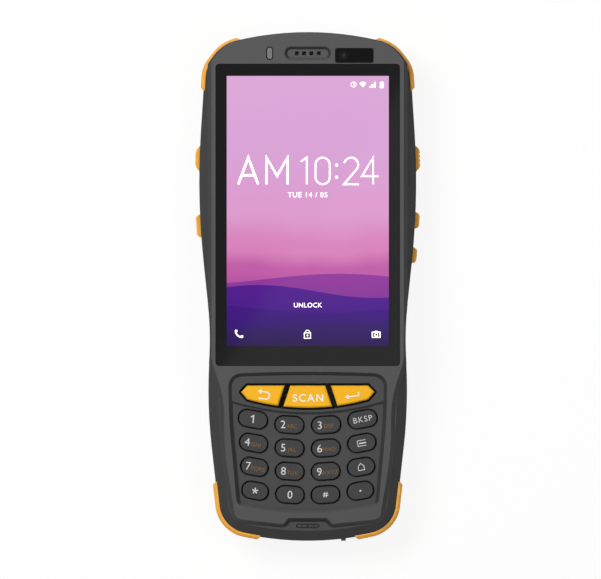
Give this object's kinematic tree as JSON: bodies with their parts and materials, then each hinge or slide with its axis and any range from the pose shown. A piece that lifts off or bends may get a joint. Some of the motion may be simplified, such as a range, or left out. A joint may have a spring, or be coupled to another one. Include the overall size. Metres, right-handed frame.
{
  "type": "portable barcode data terminal",
  "caption": "Rugged handheld data terminal with a glass-fronted display, orange-accented keypad, corner bumpers, side scan keys, port flap and screw-down battery cover.",
  "frame": {"origin": "middle of the back, on the plane of the battery cover, under the centre of the body's outline", "axes": "+X to the terminal's right seen from its face, +Y towards its head end where the scanner looks out, +Z out of its face; it lies on its back"},
  "size_m": [0.0728, 0.1644, 0.02],
  "materials": {
    "battery_wrap": "plastic battery case",
    "black_glass": "polished black glass",
    "black_plastic": "moulded black plastic",
    "board": "green solder mask",
    "bumper": "satin orange elastomer",
    "diffuser": "translucent white diffuser",
    "display": "lit display",
    "housing": "fine textured moulded dark grey plastic",
    "key": "satin dark grey key caps",
    "lens": "dark tinted window",
    "orange": "satin orange plastic",
    "rubber": "black elastomer",
    "scan_lens": "dark red tinted window",
    "steel": "stamped or turned steel"
  },
  "bodies": {
    "root": {"battery_contacts": "steel", "battery_pack": "battery_wrap", "bumper_foot_left": "bumper", "bumper_foot_right": "bumper", "bumper_head_left": "bumper", "bumper_head_right": "bumper", "cover_seal": "rubber", "display_module": "display", "display_tray": "steel", "flash_lens": "diffuser", "front_camera": "black_plastic", "front_housing": "housing", "keypad_board": "board", "keypad_mat": "rubber", "light_pipe": "diffuser", "main_board": "board", "microphone": "steel", "rear_camera": "black_plastic", "rear_camera_window": "lens", "rear_housing": "housing", "receiver": "black_plastic", "scan_engine": "black_plastic", "scan_window": "scan_lens", "sensor_window": "lens", "shield_cans": "steel", "side_switches": "black_plastic", "snap_domes": "steel", "speaker": "black_plastic", "touch_glass": "black_glass", "usb_connector": "steel"},
    "key_1": {"key_1": "key"},
    "key_2": {"key_2": "key"},
    "key_3": {"key_3": "key"},
    "key_backspace": {"key_backspace": "key"},
    "key_4": {"key_4": "key"},
    "key_5": {"key_5": "key"},
    "key_6": {"key_6": "key"},
    "key_menu": {"key_menu": "key"},
    "key_7": {"key_7": "key"},
    "key_8": {"key_8": "key"},
    "key_9": {"key_9": "key"},
    "key_home": {"key_home": "key"},
    "key_star": {"key_star": "key"},
    "key_0": {"key_0": "key"},
    "key_hash": {"key_hash": "key"},
    "key_dot": {"key_dot": "key"},
    "key_back": {"key_back": "orange"},
    "key_scan": {"key_scan": "orange"},
    "key_enter": {"key_enter": "orange"},
    "scan_key_left": {"scan_key_left": "orange"},
    "scan_key_right": {"scan_key_right": "orange"},
    "power_key": {"power_key": "orange"},
    "volume_up_key": {"volume_up_key": "orange"},
    "volume_down_key": {"volume_down_key": "orange"},
    "usb_flap": {"usb_flap": "rubber"},
    "battery_cover": {"battery_cover": "housing"},
    "cover_screw_left": {"cover_screw_left": "steel"},
    "cover_screw_right": {"cover_screw_right": "steel"}
  },
  "joints": [
    {"name": "key_1_press", "type": "slide", "parent": "root", "child": "key_1", "axis": [0, 0, -1], "range_m": [0, 0.0005], "stiffness_N_per_m": 900},
    {"name": "key_2_press", "type": "slide", "parent": "root", "child": "key_2", "axis": [0, 0, -1], "range_m": [0, 0.0005], "stiffness_N_per_m": 900},
    {"name": "key_3_press", "type": "slide", "parent": "root", "child": "key_3", "axis": [0, 0, -1], "range_m": [0, 0.0005], "stiffness_N_per_m": 900},
    {"name": "key_backspace_press", "type": "slide", "parent": "root", "child": "key_backspace", "axis": [0, 0, -1], "range_m": [0, 0.0005], "stiffness_N_per_m": 900},
    {"name": "key_4_press", "type": "slide", "parent": "root", "child": "key_4", "axis": [0, 0, -1], "range_m": [0, 0.0005], "stiffness_N_per_m": 900},
    {"name": "key_5_press", "type": "slide", "parent": "root", "child": "key_5", "axis": [0, 0, -1], "range_m": [0, 0.0005], "stiffness_N_per_m": 900},
    {"name": "key_6_press", "type": "slide", "parent": "root", "child": "key_6", "axis": [0, 0, -1], "range_m": [0, 0.0005], "stiffness_N_per_m": 900},
    {"name": "key_menu_press", "type": "slide", "parent": "root", "child": "key_menu", "axis": [0, 0, -1], "range_m": [0, 0.0005], "stiffness_N_per_m": 900},
    {"name": "key_7_press", "type": "slide", "parent": "root", "child": "key_7", "axis": [0, 0, -1], "range_m": [0, 0.0005], "stiffness_N_per_m": 900},
    {"name": "key_8_press", "type": "slide", "parent": "root", "child": "key_8", "axis": [0, 0, -1], "range_m": [0, 0.0005], "stiffness_N_per_m": 900},
    {"name": "key_9_press", "type": "slide", "parent": "root", "child": "key_9", "axis": [0, 0, -1], "range_m": [0, 0.0005], "stiffness_N_per_m": 900},
    {"name": "key_home_press", "type": "slide", "parent": "root", "child": "key_home", "axis": [0, 0, -1], "range_m": [0, 0.0005], "stiffness_N_per_m": 900},
    {"name": "key_star_press", "type": "slide", "parent": "root", "child": "key_star", "axis": [0, 0, -1], "range_m": [0, 0.0005], "stiffness_N_per_m": 900},
    {"name": "key_0_press", "type": "slide", "parent": "root", "child": "key_0", "axis": [0, 0, -1], "range_m": [0, 0.0005], "stiffness_N_per_m": 900},
    {"name": "key_hash_press", "type": "slide", "parent": "root", "child": "key_hash", "axis": [0, 0, -1], "range_m": [0, 0.0005], "stiffness_N_per_m": 900},
    {"name": "key_dot_press", "type": "slide", "parent": "root", "child": "key_dot", "axis": [0, 0, -1], "range_m": [0, 0.0005], "stiffness_N_per_m": 900},
    {"name": "key_back_press", "type": "slide", "parent": "root", "child": "key_back", "axis": [0, 0, -1], "range_m": [0, 0.0005], "stiffness_N_per_m": 900},
    {"name": "key_scan_press", "type": "slide", "parent": "root", "child": "key_scan", "axis": [0, 0, -1], "range_m": [0, 0.0005], "stiffness_N_per_m": 900},
    {"name": "key_enter_press", "type": "slide", "parent": "root", "child": "key_enter", "axis": [0, 0, -1], "range_m": [0, 0.0005], "stiffness_N_per_m": 900},
    {"name": "scan_key_left_press", "type": "slide", "parent": "root", "child": "scan_key_left", "axis": [0.9996, -0.0292, 0], "range_m": [0, 0.0006], "stiffness_N_per_m": 1200},
    {"name": "scan_key_right_press", "type": "slide", "parent": "root", "child": "scan_key_right", "axis": [-0.9996, -0.0292, 0], "range_m": [0, 0.0006], "stiffness_N_per_m": 1200},
    {"name": "power_key_press", "type": "slide", "parent": "root", "child": "power_key", "axis": [0.9983, 0.0587, 0], "range_m": [0, 0.0006], "stiffness_N_per_m": 1200},
    {"name": "volume_up_key_press", "type": "slide", "parent": "root", "child": "volume_up_key", "axis": [-0.9987, 0.0515, 0], "range_m": [0, 0.0006], "stiffness_N_per_m": 1200},
    {"name": "volume_down_key_press", "type": "slide", "parent": "root", "child": "volume_down_key", "axis": [-0.9953, 0.0971, 0], "range_m": [0, 0.0006], "stiffness_N_per_m": 1200},
    {"name": "usb_flap_hinge", "type": "hinge", "parent": "root", "child": "usb_flap", "pos_m": [-0.0113, -0.08035, 0.01], "axis": [0, 0, -1], "range_deg": [0, 90]},
    {"name": "battery_cover_hinge", "type": "hinge", "parent": "root", "child": "battery_cover", "pos_m": [0, 0.0249, 0.0011], "axis": [1, 0, 0], "range_deg": [0, 60]},
    {"name": "cover_screw_left_turn", "type": "hinge", "parent": "battery_cover", "child": "cover_screw_left", "pos_m": [-0.019, -0.05515, 0], "axis": [0, 0, -1], "continuous": true},
    {"name": "cover_screw_right_turn", "type": "hinge", "parent": "battery_cover", "child": "cover_screw_right", "pos_m": [0.019, -0.05515, 0], "axis": [0, 0, -1], "continuous": true}
  ]
}
